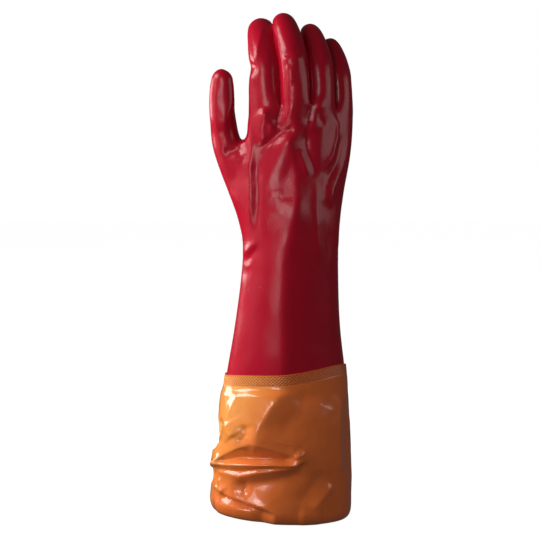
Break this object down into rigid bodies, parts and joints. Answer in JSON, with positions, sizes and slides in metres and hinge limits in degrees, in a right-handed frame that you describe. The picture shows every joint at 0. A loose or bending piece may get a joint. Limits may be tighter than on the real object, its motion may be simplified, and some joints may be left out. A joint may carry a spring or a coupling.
{
  "type": "pvc coated work glove",
  "caption": "Right-hand PVC coated gauntlet glove, shown as worn, with a loose film sleeve joined to its gauntlet by a knurled weld band.",
  "frame": {"origin": "middle of the arm opening, level with the lowest point of the hem", "axes": "+Z from the arm opening towards the fingertips, -Y out of the back of the hand, -X towards the thumb"},
  "size_m": [0.1384, 0.0943, 0.4816],
  "materials": {
    "coating": "gloss",
    "film": "gloss"
  },
  "bodies": {
    "root": {"coated_glove": "coating", "sleeve": "film", "weld_band": "film"}
  },
  "joints": []
}
